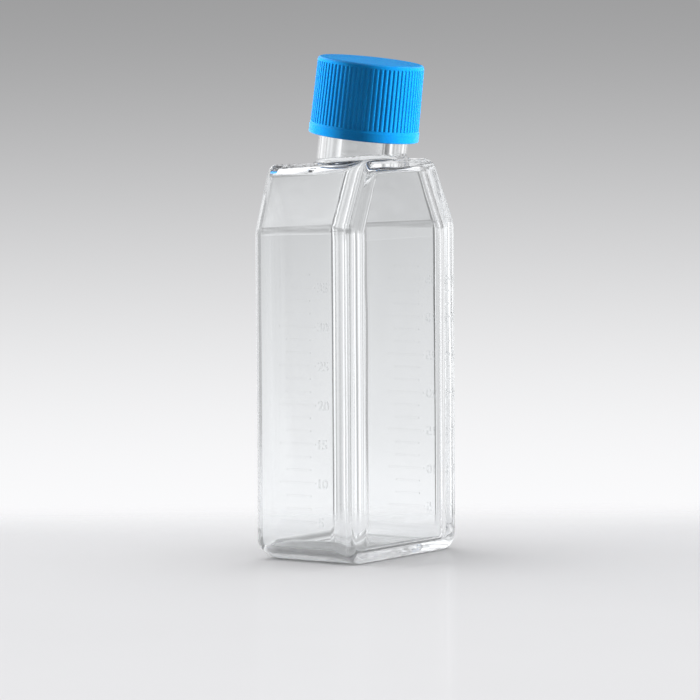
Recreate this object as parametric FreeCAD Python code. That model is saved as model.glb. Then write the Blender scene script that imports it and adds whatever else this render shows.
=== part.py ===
import FreeCAD, Part
import os, math
from FreeCAD import Vector as V, Placement, Rotation

# Canted-neck tissue culture flask, 25 cm2, standing on its end wall.
# +Z runs up the flask from the end wall to the neck, X is the width of the
# growth surface, Y is the thickness of the flask: the roof faces -Y and the
# growth surface faces +Y.  The origin is the centre of the end wall.

# ---- body -------------------------------------------------------------
W = 37.8            # outside width
D = 23.7            # outside thickness, roof to growth surface
H_ROOF = 64.3       # height of the crease where the roof starts to fall in
H_FOLD = 66.4       # height of the fold of the narrow walls, at mid thickness
H_TOP = 79.65       # height of the top wall, at mid thickness
RISE = 0.048        # rise of the fold and of the top wall towards the roof, mm per mm
TAPER = 6.8         # how far each shoulder facet leans in, at the roof
TAPER_GROWTH = 4.8  # the same, at the growth surface
ROOF_FALL = 0.6     # how far the roof falls in over the shoulder
WALL = 1.5          # side walls and roof
FLOOR = 1.9         # end wall
PLATE = 1.3         # growth plate
WELD = 0.03         # weld line between the shell and the growth plate
R_LONG = 1.2        # long outside edges
R_SHOULDER = 1.2    # long edges of the shoulder
R_TOP_LONG = 1.0    # edges of the top wall with the roof and the growth surface
R_TOP = (4.5, 2.5)  # edges of the top wall with the facets, at the roof and at the growth surface
R_FOLD = 4.5        # folds under the facets
R_PLAN = 4.0        # lower corners seen square on to the growth surface
R_HEEL = 3.5        # edge between the end wall and the growth surface
R_TOE = 1.2         # edge between the end wall and the roof
R_IN = 4.2          # long inside edges under the roof
R_IN_PLAN = 2.6     # lower inside corners
R_IN_LOW = 1.3      # inside edges of the end wall and of the top wall with the roof
R_IN_TOP = 2.2      # inside edges of the top wall with the facets
R_IN_FOLD = 3.0     # inside folds

# ---- neck, on an axis that leans towards the roof ----------------------
CANT = 7.5          # degrees
PIVOT_Z = 68.5      # where the neck axis meets the middle plane
NECK_R = 9.0
BORE_R = 7.6
RIM = 29.15         # rim, along the neck axis from the pivot
FOOT_R = 0.9        # fillet where the neck leaves the top wall
PITCH = 4.0         # thread pitch
TURNS = 1.75
THREAD_H = 0.6      # thread height
NECK_THREAD = 20.0  # lower end of the thread on the neck
CAP_THREAD = 18.0   # lower end of the thread in the cap, half a pitch away

# ---- cap --------------------------------------------------------------
CAP_LOW = 16.15     # lower rim, along the neck axis
CAP_H = 15.5
CAP_R = 11.0        # at the lower rim
CAP_R_TOP = 10.72
CAP_BORE = 9.85
CAP_TOP = 1.3
RIBS = 72
RIB_DEPTH = 0.16
RIB_R = 0.42
BAND = 2.3          # smooth band under the ribs

# ---- sealing liner ----------------------------------------------------
LINER_R = 9.5
LINER_T = 1.1
GAP = 0.05

# ---- graduations, moulded on both narrow walls ------------------------
GRAD_FIRST, GRAD_STEP, GRAD_N = 8.2, 2.6, 20
GRAD_MAJOR = 3      # every third line is long
GRAD_T, GRAD_H = 0.36, 0.14
GRAD_Y = (-2.0, 3.8)
GRAD_Y_LONG = (-3.2, 5.4)

os.makedirs("parts", exist_ok=True)
BIG = 400.0
neck_place = Placement(V(0, 0, PIVOT_Z), Rotation(V(1, 0, 0), CANT))


def half_space(point, outward):
    """Everything on the far side of a plane, as a box to cut away."""
    box = Part.makeBox(BIG, BIG, BIG, V(-BIG / 2, -BIG / 2, 0))
    box.Placement = Placement(point, Rotation(V(0, 0, 1), outward))
    return box


def solid_between(planes):
    s = Part.makeBox(BIG / 2, BIG / 2, BIG / 2, V(-BIG / 4, -BIG / 4, -BIG / 4))
    for p, n in planes:
        s = s.cut(half_space(p, n))
    return s.removeSplitter()


def body_planes(t, floor, back):
    """The planes of the body, moved in by t; the end wall by floor, the growth side by back."""
    out = []
    for sx in (-1, 1):
        out.append((V(sx * (W / 2 - t), 0, 0), V(sx, 0, 0)))
    out.append((V(0, -D / 2 + t, 0), V(0, -1, 0)))
    n = V(0, -(H_TOP - H_ROOF), ROOF_FALL)
    n.normalize()
    out.append((V(0, -D / 2, H_ROOF) - n * t, n))
    out.append((V(0, D / 2 - back, 0), V(0, 1, 0)))
    out.append((V(0, 0, floor), V(0, 0, -1)))
    n = V(0, RISE, 1)
    n.normalize()
    out.append((V(0, 0, H_TOP) - n * t, n))
    return out


def beyond_facet(t, sx):
    """Everything outside one shoulder facet, moved in by t.  The facet is ruled: it leans in more at the roof."""
    wires = []
    ends = []
    for y, lean in ((-D / 2, TAPER), (D / 2, TAPER_GROWTH)):
        low = V(sx * W / 2, y, H_FOLD - RISE * y)
        high = V(sx * (W / 2 - lean), y, H_TOP - RISE * y)
        up = high - low
        n = V(up.z * sx, 0, -up.x * sx)
        n.normalize()
        ends.append((low - n * t - up * 0.7, high - n * t + up * 0.7))
    for k in (-0.3, 1.3):
        low = ends[0][0] + (ends[1][0] - ends[0][0]) * k
        high = ends[0][1] + (ends[1][1] - ends[0][1]) * k
        far = sx * (W / 2 + 30)
        pts = [low, high, V(far, high.y, high.z), V(far, low.y, low.z)]
        wires.append(Part.makePolygon(pts + pts[:1]))
    return Part.makeLoft(wires, True, True)


def body_sharp(t, floor, back):
    s = solid_between(body_planes(t, floor, back))
    return s.cut([beyond_facet(t, -1), beyond_facet(t, 1)])


def edge_kind(e):
    """Names an edge of the body by where it lies."""
    m = e.CenterOfMass
    d = e.Vertexes[0].Point - e.Vertexes[-1].Point
    d = V(abs(d.x), abs(d.y), abs(d.z))
    low = m.z < 4
    along = "x" if d.x > max(d.y, d.z) else ("y" if d.y > max(d.x, d.z) else "z")
    side = "roof" if m.y < -D / 4 else ("growth" if m.y > D / 4 else "mid")
    if low and along == "x":
        return side + "_end"
    if low and along == "y":
        return "plan"
    if along == "z":
        return side + "_long" if m.z < H_ROOF - 3 else side + "_shoulder"
    if along == "x":
        return side + "_top" if m.z > H_TOP - 4 else "crease"
    return "top" if m.z > H_TOP - 4 else "fold"


def rounded(shape, radii):
    """Fillets each edge by the radius its kind has."""
    doc = FreeCAD.newDocument("f")
    base = doc.addObject("Part::Feature", "b")
    base.Shape = shape
    f = doc.addObject("Part::Fillet", "r")
    f.Base = base
    todo = []
    for i, e in enumerate(shape.Edges, 1):
        r = radii.get(edge_kind(e))
        if isinstance(r, tuple):
            # (radius at the roof, radius at the growth surface)
            first, last = e.valueAt(e.FirstParameter), e.valueAt(e.LastParameter)
            todo.append((i,) + (r if first.y < last.y else r[::-1]))
        elif r:
            todo.append((i, r, r))
    f.Edges = todo
    doc.recompute()
    out = f.Shape.copy()
    ok = out.isValid() and not out.isNull()
    FreeCAD.closeDocument("f")
    if not ok:
        raise RuntimeError("fillet failed")
    return out


outer_sharp = body_sharp(0, 0, 0)
outer = rounded(outer_sharp, {
    "roof_long": R_LONG, "growth_long": R_LONG,
    "roof_shoulder": R_SHOULDER, "growth_shoulder": R_SHOULDER,
    "plan": R_PLAN, "growth_end": R_HEEL, "roof_end": R_TOE,
    "roof_top": R_TOP_LONG, "growth_top": R_TOP_LONG, "top": R_TOP, "fold": R_FOLD})
cavity_sharp = body_sharp(WALL, FLOOR, PLATE)
cavity = rounded(cavity_sharp, {
    "roof_long": R_IN, "roof_shoulder": R_IN, "plan": R_IN_PLAN,
    "roof_end": R_IN_LOW, "roof_top": R_IN_LOW, "top": R_IN_TOP, "fold": R_IN_FOLD})
print("outer", outer.isValid(), round(outer.Volume), "cavity", cavity.isValid(), round(cavity.Volume))


def on_neck(shape):
    s = shape.copy()
    s.Placement = neck_place.multiply(s.Placement)
    return s


def revolve(points):
    """A solid of revolution about Z from (radius, height) points."""
    w = Part.makePolygon([V(r, 0, z) for r, z in points] + [V(points[0][0], 0, points[0][1])])
    return Part.Face(w).revolve(V(0, 0, 0), V(0, 0, 1), 360)


def thread(r_root, height, z0, turns, pitch, inside):
    """A right-hand helical ridge that stands off a cylinder of radius r_root."""
    sink = 0.25
    r0 = r_root + sink if inside else r_root - sink
    r1 = r_root - height if inside else r_root + height
    wide, narrow = 0.85, 0.35
    helix = Part.makeHelix(pitch, pitch * turns, r_root)
    helix.translate(V(0, 0, z0))
    prof = Part.makePolygon([V(r0, 0, z0 - wide), V(r1, 0, z0 - narrow),
                             V(r1, 0, z0 + narrow), V(r0, 0, z0 + wide), V(r0, 0, z0 - wide)])
    sweep = Part.Wire(helix.Edges).makePipeShell([Part.Wire(prof.Edges)], True, True)
    s = Part.Solid(sweep) if sweep.ShapeType == "Shell" else sweep
    if s.ShapeType != "Solid":
        s = Part.Solid(s.Shells[0])
    if s.Volume < 0:
        s.reverse()
    return s


# ---- shell: roof, narrow walls, end wall, shoulder and neck in one moulding ----
split = D / 2 - PLATE
front = Part.makeBox(BIG, BIG / 2, BIG, V(-BIG / 2, split - BIG / 2, -BIG / 2))
back = Part.makeBox(BIG, BIG / 2, BIG, V(-BIG / 2, split + WELD, -BIG / 2))
tube = on_neck(Part.makeCylinder(NECK_R, RIM - 8.5, V(0, 0, 8.5)))
blank = outer.common(front)
tube = tube.cut(cavity)
joined = blank.fuse(tube).removeSplitter()


def foot_edges(shape):
    """The edge that the neck makes with the top wall."""
    inv = neck_place.inverse()
    out = []
    for e in shape.Edges:
        if e.Length < 0.01 or e.Degenerated:
            continue
        a, b = e.ParameterRange
        pts = [inv.multVec(e.valueAt(a + (b - a) * k / 8)) for k in range(9)]
        if all(abs(math.hypot(p.x, p.y) - NECK_R) < 0.02 for p in pts) and all(p.z < 14 for p in pts):
            out.append(e)
    return out


foot = foot_edges(joined)
try:
    with_foot = joined.makeFillet(FOOT_R, foot)
    if with_foot.isValid() and with_foot.Volume > joined.Volume:
        joined = with_foot
        print("foot fillet", FOOT_R, len(foot))
except Exception as err:
    print("no foot fillet", len(foot), err)

# the bore, from just inside the top wall to the mouth
bore = on_neck(Part.makeCylinder(BORE_R, 60, V(0, 0, 7.6)))
shell = joined.cut(cavity).cut(bore)
# a small lead-in at the mouth, and rounded outer edge of the rim
lead = on_neck(revolve([(BORE_R - 0.5, RIM - 0.8), (BORE_R + 0.4, RIM + 0.1), (BORE_R - 0.5, RIM + 0.1)]))
rim_cut = on_neck(revolve([(NECK_R - 0.3, RIM + 0.1), (NECK_R + 0.4, RIM - 0.6), (NECK_R + 0.4, RIM + 0.1)]))
shell = shell.cut(lead).cut(rim_cut)
neck_thread = on_neck(thread(NECK_R, THREAD_H, NECK_THREAD, TURNS, PITCH, False))
print("thread", neck_thread.isValid(), round(neck_thread.Volume, 2))
shell = shell.fuse(neck_thread)

# graduations: short raised lines on both narrow walls
marks = []
for k in range(GRAD_N):
    z = GRAD_FIRST + k * GRAD_STEP
    y0, y1 = GRAD_Y_LONG if k % GRAD_MAJOR == 0 else GRAD_Y
    for sx in (-1, 1):
        x0 = W / 2 - 0.2 if sx > 0 else -W / 2 - GRAD_H
        marks.append(Part.makeBox(0.2 + GRAD_H, y1 - y0, GRAD_T, V(x0, y0, z - GRAD_T / 2)))
shell = shell.fuse(marks)
try:
    shell = shell.removeSplitter()
except Exception as err:
    print("kept splitter", err)
print("shell", shell.isValid(), len(shell.Solids), round(shell.Volume), len(shell.Faces))

# ---- growth plate: the flat treated wall, welded to the shell ----
plate = outer.common(back)
print("plate", plate.isValid(), len(plate.Solids), round(plate.Volume))

# ---- cap ----
cap_top_z = CAP_LOW + CAP_H
body = Part.makeCone(CAP_R, CAP_R_TOP, CAP_H, V(0, 0, CAP_LOW))
band = Part.makeCylinder(CAP_R + 0.12, BAND - 0.5, V(0, 0, CAP_LOW)).fuse(
    Part.makeCone(CAP_R + 0.12, CAP_R - 0.04, 0.3, V(0, 0, CAP_LOW + BAND - 0.5)))
top_edge = [e for e in body.Edges if abs(e.CenterOfMass.z - cap_top_z) < 0.01 and e.Curve.TypeId.endswith("Circle")]
body = body.makeFillet(0.7, top_edge)
slope = math.degrees(math.atan((CAP_R - CAP_R_TOP) / CAP_H))
flutes = []
rib_len = CAP_H - BAND - 1.1
for k in range(RIBS):
    c = Part.makeCylinder(RIB_R, rib_len, V(0, 0, 0))
    tip = Part.makeSphere(RIB_R, V(0, 0, rib_len))
    c = c.fuse(tip).removeSplitter()
    c.rotate(V(0, 0, 0), V(0, 1, 0), -slope)
    r_at = CAP_R - (CAP_R - CAP_R_TOP) * BAND / CAP_H
    c.translate(V(r_at + RIB_R - RIB_DEPTH, 0, CAP_LOW + BAND))
    c.rotate(V(0, 0, 0), V(0, 0, 1), 360.0 / RIBS * k)
    flutes.append(c)
body = body.cut(flutes).fuse(band).removeSplitter()
low_edges = [e for e in body.Edges if abs(e.CenterOfMass.z - CAP_LOW) < 0.01 and e.Curve.TypeId.endswith("Circle")]
try:
    b2 = body.makeFillet(0.3, low_edges)
    if b2.isValid():
        body = b2
except Exception as err:
    print("no low fillet", err)
hollow = Part.makeCylinder(CAP_BORE, CAP_H - CAP_TOP, V(0, 0, CAP_LOW))
lead = Part.makeCone(CAP_BORE + 0.5, CAP_BORE, 0.6, V(0, 0, CAP_LOW - 0.001))
cap = body.cut(hollow).cut(lead)
cap_thread = thread(CAP_BORE, THREAD_H, CAP_THREAD, TURNS, PITCH, True)
cap = cap.fuse(cap_thread).removeSplitter()
cap = on_neck(cap)
print("cap", cap.isValid(), len(cap.Solids), round(cap.Volume, 1), len(cap.Faces))

# ---- sealing liner, a loose soft disc between the rim and the cap ----
liner = Part.makeCylinder(LINER_R, LINER_T, V(0, 0, RIM + GAP))
liner = liner.makeFillet(0.2, [e for e in liner.Edges if e.Curve.TypeId.endswith("Circle")])
liner = on_neck(liner)

for name, s in (("flask_shell", shell), ("growth_plate", plate), ("screw_cap", cap), ("cap_liner", liner)):
    if s.ShapeType == "Compound" and len(s.Solids) == 1:
        s = s.Solids[0]
    b = s.BoundBox
    print(name, s.ShapeType, s.isValid(), len(s.Solids), "volume", round(s.Volume, 1),
          [round(v, 2) for v in (b.XMin, b.XMax, b.YMin, b.YMax, b.ZMin, b.ZMax)])
    s.exportStep("parts/" + name + ".step")
a, b = shell.common(cap).Volume, shell.common(liner).Volume
print("overlaps shell/cap", round(a, 4), "shell/liner", round(b, 4), "cap/liner", round(cap.common(liner).Volume, 4),
      "shell/plate", round(shell.common(plate).Volume, 4))
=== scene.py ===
import bpy, bmesh, math
from mathutils import Vector, Matrix


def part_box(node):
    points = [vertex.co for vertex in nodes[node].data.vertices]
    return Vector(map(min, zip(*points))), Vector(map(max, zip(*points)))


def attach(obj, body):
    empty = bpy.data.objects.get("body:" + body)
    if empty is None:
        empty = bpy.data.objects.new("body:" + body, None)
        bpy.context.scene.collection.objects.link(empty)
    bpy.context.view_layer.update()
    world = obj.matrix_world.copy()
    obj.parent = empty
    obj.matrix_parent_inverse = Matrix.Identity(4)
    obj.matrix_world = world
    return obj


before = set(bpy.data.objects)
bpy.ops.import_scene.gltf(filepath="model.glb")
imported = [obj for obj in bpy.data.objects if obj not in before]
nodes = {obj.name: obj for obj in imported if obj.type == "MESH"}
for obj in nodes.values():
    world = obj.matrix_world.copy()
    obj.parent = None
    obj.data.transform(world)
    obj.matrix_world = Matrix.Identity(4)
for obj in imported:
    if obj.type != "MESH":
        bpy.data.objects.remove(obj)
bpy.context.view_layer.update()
scene = bpy.context.scene


# ---------------------------------------------------------------- node helpers
def new_material(name):
    m = bpy.data.materials.new(name)
    m.use_nodes = True
    nt = m.node_tree
    nt.nodes.clear()
    out = nt.nodes.new("ShaderNodeOutputMaterial")
    bsdf = nt.nodes.new("ShaderNodeBsdfPrincipled")
    nt.links.new(bsdf.outputs["BSDF"], out.inputs["Surface"])
    return m, nt, bsdf


def noise(nt, scale, detail=3.0, rough=0.5, stretch=(1, 1, 1)):
    """Noise in object space; scale is in cycles a metre."""
    co = nt.nodes.new("ShaderNodeTexCoord")
    mp = nt.nodes.new("ShaderNodeMapping")
    mp.inputs["Scale"].default_value = stretch
    n = nt.nodes.new("ShaderNodeTexNoise")
    n.inputs["Scale"].default_value = scale
    n.inputs["Detail"].default_value = detail
    n.inputs["Roughness"].default_value = rough
    nt.links.new(co.outputs["Object"], mp.inputs["Vector"])
    nt.links.new(mp.outputs["Vector"], n.inputs["Vector"])
    return n.outputs["Fac"]


def ramp(nt, fac, stops):
    r = nt.nodes.new("ShaderNodeValToRGB")
    e = r.color_ramp.elements
    while len(e) < len(stops):
        e.new(0.5)
    for k, (p, c) in enumerate(stops):
        e[k].position = p
        e[k].color = (c[0], c[1], c[2], 1) if not isinstance(c, float) else (c, c, c, 1)
    nt.links.new(fac, r.inputs["Fac"])
    return r.outputs["Color"]


def spread(nt, fac, lo, hi, a=0.3, b=0.7):
    m = nt.nodes.new("ShaderNodeMapRange")
    m.inputs["From Min"].default_value = a
    m.inputs["From Max"].default_value = b
    m.inputs["To Min"].default_value = lo
    m.inputs["To Max"].default_value = hi
    nt.links.new(fac, m.inputs["Value"])
    return m.outputs["Result"]


def math_node(nt, op, a, b=None, c=None):
    m = nt.nodes.new("ShaderNodeMath")
    m.operation = op
    for i, v in enumerate((a, b, c)):
        if v is None:
            continue
        if isinstance(v, (int, float)):
            m.inputs[i].default_value = v
        else:
            nt.links.new(v, m.inputs[i])
    return m.outputs[0]


def bump(nt, bsdf, fac, strength, distance):
    b = nt.nodes.new("ShaderNodeBump")
    b.inputs["Strength"].default_value = strength
    b.inputs["Distance"].default_value = distance
    nt.links.new(fac, b.inputs["Height"])
    nt.links.new(b.outputs["Normal"], bsdf.inputs["Normal"])
    return b


# ---------------------------------------------------------------- materials
def clear_plastic(name, tint, wave, frosted=False):
    """Injection-moulded polystyrene: clear, with faint flow waves."""
    m, nt, b = new_material(name)
    b.inputs["Transmission Weight"].default_value = 1.0
    b.inputs["IOR"].default_value = 1.59
    b.inputs["Specular IOR Level"].default_value = 0.5
    flow = noise(nt, 60.0, 2.0, 0.45, (1.0, 1.0, 0.35))
    nt.links.new(ramp(nt, flow, [(0.3, tint), (0.7, tuple(min(1.0, c * 1.012) for c in tint))]), b.inputs["Base Color"])
    if frosted:
        # the raised graduations are left matt by the mould
        co = nt.nodes.new("ShaderNodeTexCoord")
        sep = nt.nodes.new("ShaderNodeSeparateXYZ")
        nt.links.new(co.outputs["Object"], sep.inputs["Vector"])
        proud = math_node(nt, "GREATER_THAN", math_node(nt, "ABSOLUTE", sep.outputs["X"]), 0.01894)
        nt.links.new(math_node(nt, "MULTIPLY", proud, spread(nt, noise(nt, 900.0, 3.0, 0.6), 0.07, 0.13)), b.inputs["Roughness"])
    else:
        b.inputs["Roughness"].default_value = 0.0
    bump(nt, b, flow, wave, 0.0004)
    return m


def blue_plastic():
    """Moulded blue polyethylene: satin gloss, a little light passes into it."""
    m, nt, b = new_material("blue_polyethylene_look")
    b.inputs["IOR"].default_value = 1.51
    b.inputs["Specular IOR Level"].default_value = 0.12
    b.inputs["Specular Tint"].default_value = (0.5, 0.85, 1.0, 1.0)
    b.inputs["Subsurface Weight"].default_value = 0.25
    b.inputs["Subsurface Radius"].default_value = (0.05, 0.45, 1.0)
    b.inputs["Subsurface Scale"].default_value = 0.0012
    cloud = noise(nt, 180.0, 3.0, 0.5)
    nt.links.new(ramp(nt, cloud, [(0.3, (0.002, 0.134, 0.350)), (0.7, (0.003, 0.149, 0.382))]), b.inputs["Base Color"])
    fine = noise(nt, 3200.0, 3.0, 0.6)
    # the top is matt, with a coarser grain
    co = nt.nodes.new("ShaderNodeTexCoord")
    face = nt.nodes.new("ShaderNodeVectorMath")
    face.operation = "DOT_PRODUCT"
    face.inputs[1].default_value = (0.0, -math.sin(math.radians(7.5)), math.cos(math.radians(7.5)))
    nt.links.new(co.outputs["Normal"], face.inputs[0])
    top = math_node(nt, "GREATER_THAN", face.outputs["Value"], 0.9)
    nt.links.new(math_node(nt, "ADD", spread(nt, fine, 0.24, 0.34), math_node(nt, "MULTIPLY", top, 0.5)), b.inputs["Roughness"])
    grain = math_node(nt, "MULTIPLY", fine, math_node(nt, "ADD", 1.0, math_node(nt, "MULTIPLY", top, 4.0)))
    bump(nt, b, grain, 0.12, 0.00006)
    return m


def liner_foam():
    m, nt, b = new_material("white_liner_look")
    b.inputs["Subsurface Weight"].default_value = 0.2
    b.inputs["Subsurface Radius"].default_value = (1.0, 0.9, 0.8)
    b.inputs["Subsurface Scale"].default_value = 0.0006
    cells = nt.nodes.new("ShaderNodeTexVoronoi")
    cells.inputs["Scale"].default_value = 3500.0
    co = nt.nodes.new("ShaderNodeTexCoord")
    nt.links.new(co.outputs["Object"], cells.inputs["Vector"])
    nt.links.new(ramp(nt, cells.outputs["Distance"], [(0.0, (0.80, 0.81, 0.80)), (0.8, (0.88, 0.885, 0.88))]), b.inputs["Base Color"])
    nt.links.new(spread(nt, noise(nt, 1500.0), 0.5, 0.65), b.inputs["Roughness"])
    bump(nt, b, cells.outputs["Distance"], 0.25, 0.00005)
    return m


shell_look = clear_plastic("clear_polystyrene_look", (0.975, 0.985, 0.988), 0.25, frosted=True)
plate_look = clear_plastic("treated_polystyrene_look", (0.975, 0.985, 0.988), 0.06)
cap_look = blue_plastic()
liner_look = liner_foam()
for node, look in (("flask_shell", shell_look), ("growth_plate", plate_look), ("screw_cap", cap_look), ("cap_liner", liner_look)):
    o = nodes[node]
    for s in o.material_slots:
        s.material = look


# ---------------------------------------------------------------- numbers beside the long graduations
W = 0.0378
GRAD_FIRST, GRAD_STEP, GRAD_MAJOR = 0.0082, 0.0026, 3
NUMBER_H = 0.0019       # height of a digit
PROUD = 0.00012


def number_mesh(text):
    """A digit string as flat outline text, turned into a mesh in the XY plane."""
    c = bpy.data.curves.new("n", "FONT")
    c.body = text
    c.size = NUMBER_H / 0.70
    c.extrude = 0.0001
    c.resolution_u = 6
    o = bpy.data.objects.new("n", c)
    scene.collection.objects.link(o)
    bpy.context.view_layer.update()
    me = bpy.data.meshes.new_from_object(o.evaluated_get(bpy.context.evaluated_depsgraph_get()))
    bpy.data.objects.remove(o)
    bpy.data.curves.remove(c)
    return me


def numbers(name, side):
    bm = bmesh.new()
    for k in range(0, 20, GRAD_MAJOR):
        me = number_mesh(str(5 * (k // GRAD_MAJOR + 1)))
        xs = [v.co.x for v in me.vertices]
        ys = [v.co.y for v in me.vertices]
        w = max(xs) - min(xs)
        z = GRAD_FIRST + k * GRAD_STEP
        part = bmesh.new()
        part.from_mesh(me)
        for v in part.verts:
            u, t, d = v.co.x - min(xs), v.co.y - (max(ys) + min(ys)) / 2, v.co.z
            proud = PROUD if d > 0 else -0.00005
            if side < 0:
                v.co = Vector((-W / 2 - proud, -0.0039 - u, z + t))
            else:
                v.co = Vector((W / 2 + proud, -0.0039 - w + u, z + t))
        me2 = bpy.data.meshes.new("t")
        part.to_mesh(me2)
        part.free()
        bm.from_mesh(me2)
        bpy.data.meshes.remove(me2)
        bpy.data.meshes.remove(me)
    bmesh.ops.remove_doubles(bm, verts=bm.verts, dist=1e-7)
    bmesh.ops.recalc_face_normals(bm, faces=bm.faces)
    me = bpy.data.meshes.new(name)
    bm.to_mesh(me)
    bm.free()
    o = bpy.data.objects.new(name, me)
    scene.collection.objects.link(o)
    return o


number_look, nt, b = new_material("graduation_numbers_look")
b.inputs["Transmission Weight"].default_value = 1.0
b.inputs["IOR"].default_value = 1.59
nt.links.new(ramp(nt, noise(nt, 400.0), [(0.3, (0.95, 0.96, 0.96)), (0.7, (0.98, 0.985, 0.985))]), b.inputs["Base Color"])
nt.links.new(spread(nt, noise(nt, 1500.0), 0.05, 0.09), b.inputs["Roughness"])
for name, side in (("graduation_numbers_near", -1), ("graduation_numbers_far", 1)):
    o = numbers(name, side)
    o.data.materials.append(number_look)
    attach(o, "flask")


# ---------------------------------------------------------------- camera
F_PX, PITCH, ROLL, YAW = 4250.0, math.radians(3.949), math.radians(-0.363), math.radians(55.152)
DIST, CX, CZ = 0.8603, -0.001271, 0.041406
vd = Vector((math.sin(YAW) * math.cos(PITCH), math.cos(YAW) * math.cos(PITCH), -math.sin(PITCH)))
right = Vector((math.cos(YAW), -math.sin(YAW), 0))
up = right.cross(vd)
r2 = right * math.cos(ROLL) + up * math.sin(ROLL)
u2 = up * math.cos(ROLL) - right * math.sin(ROLL)
eye = Vector((0, 0, CZ)) + right * CX - vd * DIST
cam = bpy.data.cameras.new("camera")
cam.sensor_width = 36.0
cam.lens = F_PX * 36.0 / 700.0
cam.clip_start, cam.clip_end = 0.01, 50.0
cam.dof.use_dof = False
cam_o = bpy.data.objects.new("camera", cam)
scene.collection.objects.link(cam_o)
cam_o.matrix_world = Matrix(((r2.x, u2.x, -vd.x, eye.x), (r2.y, u2.y, -vd.y, eye.y), (r2.z, u2.z, -vd.z, eye.z), (0, 0, 0, 1)))
scene.camera = cam_o


# ---------------------------------------------------------------- stage: a pale floor that runs out into the studio's backdrop
def disc(radius=0.6, seg=128, rings=(0.05, 0.1, 0.2, 0.3, 0.4, 0.5, 0.6)):
    bm = bmesh.new()
    c = bm.verts.new((0, 0, 0))
    loops = [[bm.verts.new((r * math.cos(2 * math.pi * i / seg), r * math.sin(2 * math.pi * i / seg), 0)) for i in range(seg)] for r in rings]
    for i in range(seg):
        j = (i + 1) % seg
        bm.faces.new((c, loops[0][i], loops[0][j]))
        for a, d in zip(loops, loops[1:]):
            bm.faces.new((a[i], d[i], d[j], a[j]))
    me = bpy.data.meshes.new("studio_floor")
    bm.to_mesh(me)
    bm.free()
    o = bpy.data.objects.new("studio_floor", me)
    scene.collection.objects.link(o)
    return o


floor = disc()
floor.location = (0, 0, -0.00002)
m, nt, b = new_material("floor_look")
nt.links.new(ramp(nt, noise(nt, 12.0), [(0.3, (0.775, 0.775, 0.78)), (0.7, (0.79, 0.79, 0.795))]), b.inputs["Base Color"])
b.inputs["Roughness"].default_value = 0.5
b.inputs["Specular IOR Level"].default_value = 0.0
gloss = nt.nodes.new("ShaderNodeBsdfGlossy")
gloss.inputs["Roughness"].default_value = 0.05
gloss.inputs["Color"].default_value = (1, 1, 1, 1)
polish = nt.nodes.new("ShaderNodeMixShader")
polish.inputs["Fac"].default_value = 0.08
nt.links.new(b.outputs["BSDF"], polish.inputs[1])
nt.links.new(gloss.outputs["BSDF"], polish.inputs[2])
co = nt.nodes.new("ShaderNodeTexCoord")


def along(v):
    d = nt.nodes.new("ShaderNodeVectorMath")
    d.operation = "DOT_PRODUCT"
    d.inputs[1].default_value = v
    nt.links.new(co.outputs["Object"], d.inputs[0])
    return d.outputs["Value"]


def fade(v, lo, hi):
    """0 where v is at lo, 1 at hi."""
    n = nt.nodes.new("ShaderNodeMapRange")
    n.interpolation_type = "SMOOTHSTEP"
    n.inputs["From Min"].default_value = lo
    n.inputs["From Max"].default_value = hi
    nt.links.new(v, n.inputs["Value"])
    return n.outputs["Result"]


# the floor ends softly: soonest towards the backdrop, then at the sides and in front
deep = along((math.sin(YAW), math.cos(YAW), 0))
wide = math_node(nt, "ABSOLUTE", along(tuple(right)))
gone = math_node(nt, "MAXIMUM", fade(deep, 0.03, 0.10), math_node(nt, "MAXIMUM", fade(math_node(nt, "MULTIPLY", deep, -1.0), 0.21, 0.46), fade(wide, 0.2, 0.5)))
clear = nt.nodes.new("ShaderNodeBsdfTransparent")
edge = nt.nodes.new("ShaderNodeMixShader")
nt.links.new(gone, edge.inputs["Fac"])
nt.links.new(polish.outputs["Shader"], edge.inputs[1])
nt.links.new(clear.outputs["BSDF"], edge.inputs[2])
nt.links.new(edge.outputs["Shader"], nt.nodes["Material Output"].inputs["Surface"])
floor.data.materials.append(m)


# ---------------------------------------------------------------- light
def softbox(name, direction, distance, size, radiance, target=(0, 0, 0.05), spread_deg=180, matt_only=False):
    """A rectangular light; direction is (azimuth to the right of the camera's line, elevation), in degrees."""
    az, el = (math.radians(v) for v in direction)
    fwd = Vector((math.sin(YAW), math.cos(YAW), 0))
    d = (fwd * math.cos(az) + right * math.sin(az)) * math.cos(el) + Vector((0, 0, math.sin(el)))
    L = bpy.data.lights.new(name, "AREA")
    L.shape = "RECTANGLE"
    L.size, L.size_y = size
    L.energy = radiance * math.pi * size[0] * size[1]
    L.spread = math.radians(spread_deg)
    o = bpy.data.objects.new(name, L)
    scene.collection.objects.link(o)
    o.location = Vector(target) + d * distance
    o.rotation_mode = "QUATERNION"
    o.rotation_quaternion = d.to_track_quat("Z", "Y")
    o.visible_camera = False
    if matt_only:
        # flagged off the clear plastic, which would show it as a streak
        o.visible_glossy = False
        o.visible_transmission = False
    return o


# two strips at the cap's height, one on each side, which model its round side and are flagged off all else
cap_low, cap_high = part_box("screw_cap")
cap_mid = (Vector(cap_low) + Vector(cap_high)) / 2
cap_only = bpy.data.collections.new("lit_by_cap_strips")
for node in ("screw_cap", "cap_liner"):
    cap_only.objects.link(nodes[node])
for side, az, radiance in (("right", 92, 49.0), ("left", -70, 50.0)):
    strip = softbox("cap_strip_" + side, (az, 4), 0.40, (0.05, 0.10), radiance, cap_mid, 60, matt_only=True)
    strip.light_linking.receiver_collection = cap_only

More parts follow.
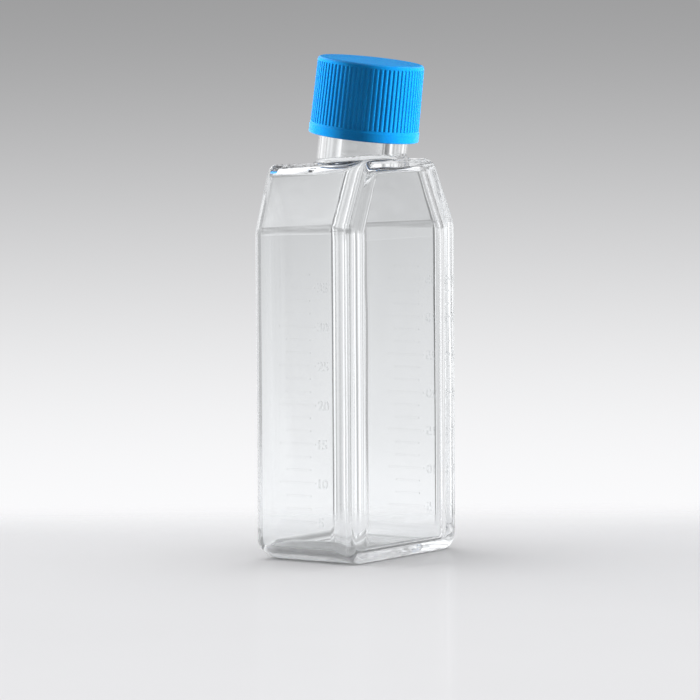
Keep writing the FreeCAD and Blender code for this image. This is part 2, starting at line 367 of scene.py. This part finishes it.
# The studio round the floor.  Straight ahead of the camera it is a backdrop, bright at the floor and grey above.
# Round the rest it is a soft tent of light, given as radiance by azimuth (to the right of the camera's line) at
# six elevations, in degrees, with straight blends between them: strips at both sides, and dim in front.
TENT = [
    (-2, [(-140, 0.60), (-120, 1.91), (-105, 0.36), (-90, 0.94), (-75, 0.68), (-60, 0.92), (-46, 0.92), (-32, 2.00), (-26, 0.30), (-20, 1.35), (-15, 0.75), (-12, 1.17), (-10, 0.64), (-8, 0.69), (-6, 1.34), (6, 0.05), (8, 0.17), (10, 1.52), (12, 0.30), (15, 0.88), (20, 0.55), (26, 0.77), (32, 1.46), (46, 0.57), (60, 0.63), (75, 0.34), (90, 0.30), (105, 0.81), (120, 1.34), (140, 0.60), (180, 0.60)]),
    (4, [(-150, 0.30), (-120, 1.50), (-90, 1.09), (-60, 0.64), (-30, 0.68), (0, 0.30), (30, 0.30), (60, 0.79), (90, 0.76), (120, 0.53), (150, 0.30), (180, 0.30)]),
    (12, [(-150, 0.20), (-120, 0.71), (-90, 0.71), (-60, 0.63), (-30, 0.54), (0, 0.52), (30, 0.64), (60, 0.51), (90, 0.25), (120, 0.27), (150, 0.20), (180, 0.20)]),
    (25, [(-135, 0.20), (-90, 1.96), (-45, 1.50), (0, 1.14), (45, 1.06), (90, 0.65), (135, 0.10), (180, 0.20)]),
    (45, [(-135, 0.20), (-90, 1.80), (-45, 1.60), (0, 1.23), (45, 1.37), (90, 0.96), (135, 0.20), (180, 0.20)]),
    (72, [(0, 1.70)]),
]
world = bpy.data.worlds.new("studio")
world.use_nodes = True
nt = world.node_tree
bg = nt.nodes["Background"]
co = nt.nodes.new("ShaderNodeTexCoord")


def dot(v):
    n = nt.nodes.new("ShaderNodeVectorMath")
    n.operation = "DOT_PRODUCT"
    n.inputs[1].default_value = v
    nt.links.new(co.outputs["Generated"], n.inputs[0])
    return n.outputs["Value"]


def between(v, a, b, lo=0.0, hi=1.0):
    """lo where v is at a, hi where it is at b, straight in between."""
    n = nt.nodes.new("ShaderNodeMapRange")
    n.inputs["From Min"].default_value = a
    n.inputs["From Max"].default_value = b
    n.inputs["To Min"].default_value = lo
    n.inputs["To Max"].default_value = hi
    nt.links.new(v, n.inputs["Value"])
    return n.outputs["Result"]


def profile(v, stops):
    """Radiance by v, from (v, radiance) stops."""
    lo, hi = stops[0][0], stops[-1][0]
    top = max(r for _, r in stops)
    c = ramp(nt, between(v, lo, hi), [((e - lo) / (hi - lo), float(r / top)) for e, r in stops])
    return math_node(nt, "MULTIPLY", c, top)


elev = math_node(nt, "MULTIPLY", math_node(nt, "ARCSINE", dot((0, 0, 1))), 57.29578)
turn = math_node(nt, "MULTIPLY", math_node(nt, "ARCTAN2", dot(tuple(right)), dot((math.sin(YAW), math.cos(YAW), 0))), 57.29578)
# the backdrop is one soft gradient, from white at the floor to grey above
backdrop = math_node(nt, "SUBTRACT", 0.97, math_node(nt, "MULTIPLY", fade(elev, -6.6, 1.6), 0.64))
backdrop = math_node(nt, "MULTIPLY", backdrop, math_node(nt, "SUBTRACT", 1.0, math_node(nt, "MULTIPLY", fade(elev, 1, 8), 0.33)))
ahead = math_node(nt, "MULTIPLY", between(math_node(nt, "ABSOLUTE", turn), 5.0, 5.6, 1, 0), between(elev, 5, 10, 1, 0))
tent = None
for k, (e, stops) in enumerate(TENT):
    if len(stops) > 1:
        value = profile(turn, [(-180, stops[-1][1])] + stops)
        share = None
    else:
        value, share = stops[0][1], None
    if k > 0:
        share = between(elev, TENT[k - 1][0], e)
    if k < len(TENT) - 1:
        down = between(elev, e, TENT[k + 1][0], 1, 0)
        share = down if share is None else math_node(nt, "MULTIPLY", share, down)
    value = math_node(nt, "MULTIPLY", value, share)
    tent = value if tent is None else math_node(nt, "ADD", tent, value)
value = math_node(nt, "ADD", math_node(nt, "MULTIPLY", backdrop, ahead), math_node(nt, "MULTIPLY", tent, math_node(nt, "SUBTRACT", 1.0, ahead)))
# well below the horizon it is as pale as the floor, so the floor runs out with no edge in a view from above
under = between(elev, -16, -11, 1, 0)
value = math_node(nt, "ADD", math_node(nt, "MULTIPLY", value, math_node(nt, "SUBTRACT", 1.0, under)), math_node(nt, "MULTIPLY", under, 0.80))
tone = nt.nodes.new("ShaderNodeCombineColor")
nt.links.new(value, tone.inputs[0])
nt.links.new(value, tone.inputs[1])
nt.links.new(math_node(nt, "MULTIPLY", value, 1.012), tone.inputs[2])
nt.links.new(tone.outputs[0], bg.inputs["Color"])
bg.inputs["Strength"].default_value = 1.0
world.cycles.sampling_method = "MANUAL"
world.cycles.sample_map_resolution = 1024
scene.world = world
scene.view_settings.view_transform = "Standard"
scene.view_settings.look = "None"
scene.view_settings.exposure = 0.0
scene.view_settings.gamma = 1.0
scene.cycles.max_bounces = 64
scene.cycles.glossy_bounces = 48
scene.cycles.transmission_bounces = 48
scene.cycles.diffuse_bounces = 3
